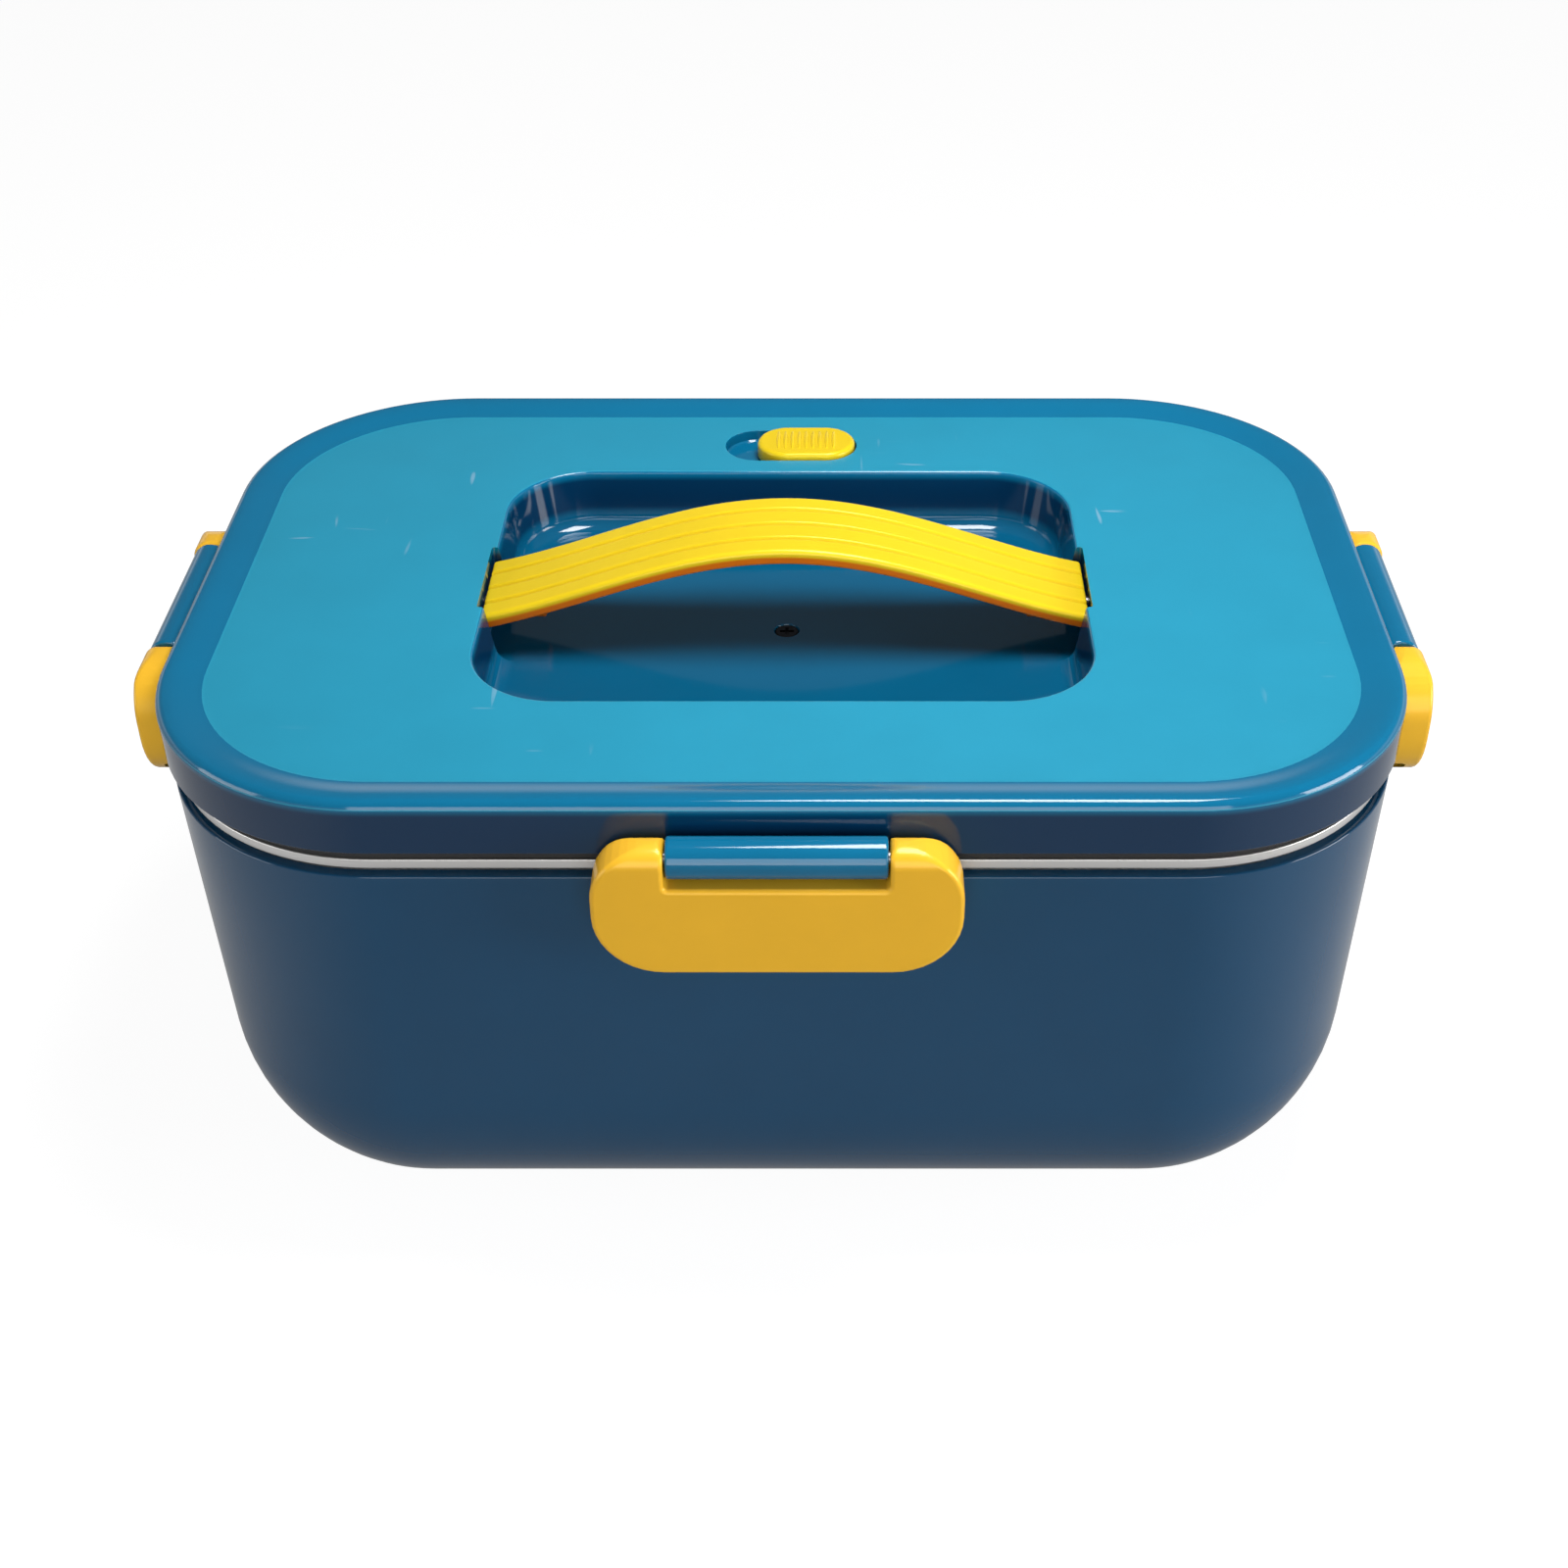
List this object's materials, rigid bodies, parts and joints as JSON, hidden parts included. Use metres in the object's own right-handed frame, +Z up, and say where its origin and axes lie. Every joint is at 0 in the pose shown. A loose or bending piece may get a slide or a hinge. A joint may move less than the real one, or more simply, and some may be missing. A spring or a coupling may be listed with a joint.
{
  "type": "electric lunch box",
  "caption": "Electric lunch box: rounded heated housing, lift-out steel container, lift-off lid with hinged side latches, sliding steam vent and a strap handle in a hand recess.",
  "frame": {"origin": "centre of the rest plane under the feet", "axes": "+X to the right of the front latch's side, along the width; +Y to the back; +Z up"},
  "size_m": [0.246, 0.172, 0.1285],
  "materials": {
    "teal_plastic": "glossy moulded plastic",
    "yellow_plastic": "glossy moulded plastic",
    "liner_plastic": "satin food-safe plastic",
    "stainless": "brushed inside, polished rim",
    "heater_aluminium": "rolled sheet",
    "screw_steel": "plated steel",
    "ceramic": "matt",
    "dark_plastic": "fine grained",
    "pin_brass": "drawn and plated",
    "red_lens": "clear tinted",
    "lead_sleeve": "silicone sleeve",
    "dark_silicone": "soft matt",
    "black_rubber": "matt"
  },
  "bodies": {
    "housing": {"housing_shell": "teal_plastic", "housing_liner": "liner_plastic", "base_cover": "teal_plastic", "base_screws": "screw_steel", "rubber_feet": "black_rubber", "heater_plate": "heater_aluminium", "ptc_heaters": "ceramic", "heater_bracket": "screw_steel", "bracket_screws": "screw_steel", "insulation_pad": "ceramic", "thermostat": "dark_plastic", "thermal_fuse": "ceramic", "ac_inlet": "dark_plastic", "inlet_pins": "pin_brass", "indicator_lens": "red_lens", "indicator_lamp": "ceramic", "live_lead": "lead_sleeve", "neutral_lead": "lead_sleeve", "lamp_lead": "lead_sleeve"},
    "container": {"food_container": "stainless"},
    "lid": {"lid_shell": "teal_plastic", "lid_liner": "liner_plastic", "lid_gasket": "dark_silicone", "lid_screw": "screw_steel", "handle_pins": "screw_steel", "latch_pin_front": "screw_steel", "latch_pin_right": "screw_steel", "latch_pin_rear": "screw_steel", "latch_pin_left": "screw_steel"},
    "handle": {"handle": "yellow_plastic"},
    "vent": {"vent_slider": "yellow_plastic", "vent_seal": "dark_silicone"},
    "latch_front": {"latch_front": "yellow_plastic"},
    "latch_right": {"latch_right": "yellow_plastic"},
    "latch_rear": {"latch_rear": "yellow_plastic"},
    "latch_left": {"latch_left": "yellow_plastic"}
  },
  "joints": [
    {"name": "container_lift", "type": "slide", "parent": "housing", "child": "container", "axis": [0, 0, 1], "range_m": [0, 0.08]},
    {"name": "lid_lift", "type": "slide", "parent": "container", "child": "lid", "axis": [0, 0, 1], "range_m": [0, 0.06]},
    {"name": "handle_tilt", "type": "hinge", "parent": "lid", "child": "handle", "pos_m": [0, 0, 0.1106], "axis": [1, 0, 0], "range_deg": [-30, 30]},
    {"name": "vent_slide", "type": "slide", "parent": "lid", "child": "vent", "axis": [-1, 0, 0], "range_m": [0, 0.0066]},
    {"name": "latch_front_hinge", "type": "hinge", "parent": "lid", "child": "latch_front", "pos_m": [0, -0.0818, 0.1095], "axis": [-1, 0, 0], "range_deg": [0, 120]},
    {"name": "latch_right_hinge", "type": "hinge", "parent": "lid", "child": "latch_right", "pos_m": [0.1188, 0, 0.1095], "axis": [0, -1, 0], "range_deg": [0, 120]},
    {"name": "latch_rear_hinge", "type": "hinge", "parent": "lid", "child": "latch_rear", "pos_m": [0, 0.0818, 0.1095], "axis": [1, 0, 0], "range_deg": [0, 120]},
    {"name": "latch_left_hinge", "type": "hinge", "parent": "lid", "child": "latch_left", "pos_m": [-0.1188, 0, 0.1095], "axis": [0, 1, 0], "range_deg": [0, 120]}
  ]
}
